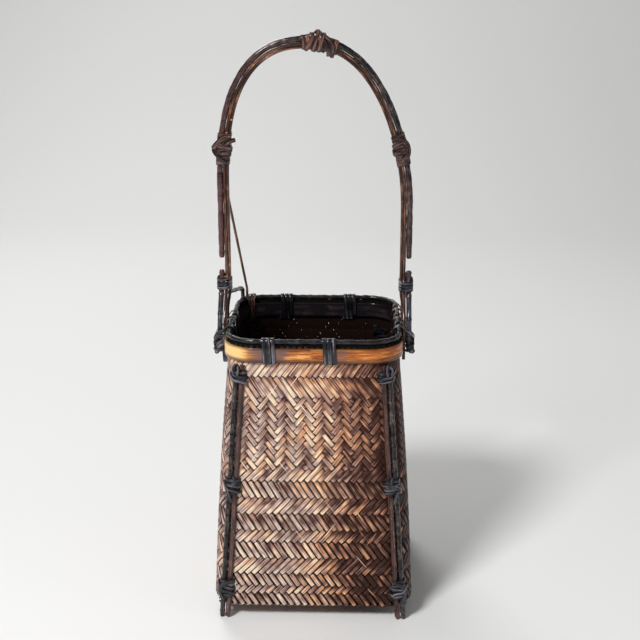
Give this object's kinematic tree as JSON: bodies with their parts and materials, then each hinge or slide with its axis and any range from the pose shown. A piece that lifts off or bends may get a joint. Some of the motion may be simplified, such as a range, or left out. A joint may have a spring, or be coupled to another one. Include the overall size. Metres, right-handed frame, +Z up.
{
  "type": "ikebana basket",
  "caption": "Tall tapering plaited bamboo flower basket with lashed corner posts, banded rim, high arched handle of cane and split strips, and a lift-out water tube.",
  "frame": {"origin": "on the ground under the middle of the basket", "axes": "+Z up; -Y is the front seen in the picture; the handle spans left to right along X"},
  "size_m": [0.1904, 0.1982, 0.5359],
  "materials": {
    "plaited_bamboo": "satin lacquered split bamboo, worn mauve brown with tan tips",
    "amber_band": "glossy amber lacquer over split bamboo with long fibres",
    "dark_band": "satin near-black lacquer",
    "blue_black_cane": "satin blue-black lacquered cane",
    "dark_cane": "satin near-black knobbly cane",
    "red_brown_strip": "glossy reddish-brown split bamboo",
    "blue_black_lashing": "satin blue-black bamboo strip",
    "brown_lashing": "satin purplish-brown bamboo strip",
    "tube_bamboo": "satin dark brown bamboo tube"
  },
  "bodies": {
    "basket": {"front_prop_left": "blue_black_cane", "front_prop_right": "blue_black_cane", "handle_binding_left": "brown_lashing", "handle_binding_right": "brown_lashing", "handle_binding_top": "brown_lashing", "handle_front_strip": "red_brown_strip", "handle_middle_strip": "red_brown_strip", "handle_outer_cane": "dark_cane", "handle_rear_rod_left": "red_brown_strip", "handle_rear_rod_right": "red_brown_strip", "post_back_left_cane": "dark_cane", "post_back_left_lashing_bottom": "blue_black_lashing", "post_back_left_lashing_middle": "blue_black_lashing", "post_back_left_lashing_top": "blue_black_lashing", "post_back_left_strip": "red_brown_strip", "post_back_right_cane": "dark_cane", "post_back_right_lashing_bottom": "blue_black_lashing", "post_back_right_lashing_middle": "blue_black_lashing", "post_back_right_lashing_top": "blue_black_lashing", "post_back_right_strip": "red_brown_strip", "post_front_left_cane": "dark_cane", "post_front_left_lashing_bottom": "blue_black_lashing", "post_front_left_lashing_middle": "blue_black_lashing", "post_front_left_lashing_top": "blue_black_lashing", "post_front_left_strip": "red_brown_strip", "post_front_right_cane": "dark_cane", "post_front_right_lashing_bottom": "blue_black_lashing", "post_front_right_lashing_middle": "blue_black_lashing", "post_front_right_lashing_top": "blue_black_lashing", "post_front_right_strip": "red_brown_strip", "prop_binding_left": "blue_black_lashing", "prop_binding_right": "blue_black_lashing", "rear_prop_left": "dark_cane", "rear_prop_right": "dark_cane", "rim_inner_band": "dark_band", "rim_outer_band": "amber_band", "rim_tie_back_left": "blue_black_lashing", "rim_tie_back_right": "blue_black_lashing", "rim_tie_front_left": "blue_black_lashing", "rim_tie_front_right": "blue_black_lashing", "rim_tie_left_front": "brown_lashing", "rim_tie_left_middle": "brown_lashing", "rim_tie_left_rear": "brown_lashing", "rim_tie_right_front": "brown_lashing", "rim_tie_right_middle": "brown_lashing", "rim_tie_right_rear": "brown_lashing", "rim_top_cane": "blue_black_cane", "woven_body": "plaited_bamboo"},
    "water_tube": {"water_tube": "tube_bamboo"}
  },
  "joints": [
    {"name": "tube_lift", "type": "slide", "parent": "basket", "child": "water_tube", "axis": [0, 0, 1], "range_m": [0, 0.262]}
  ]
}
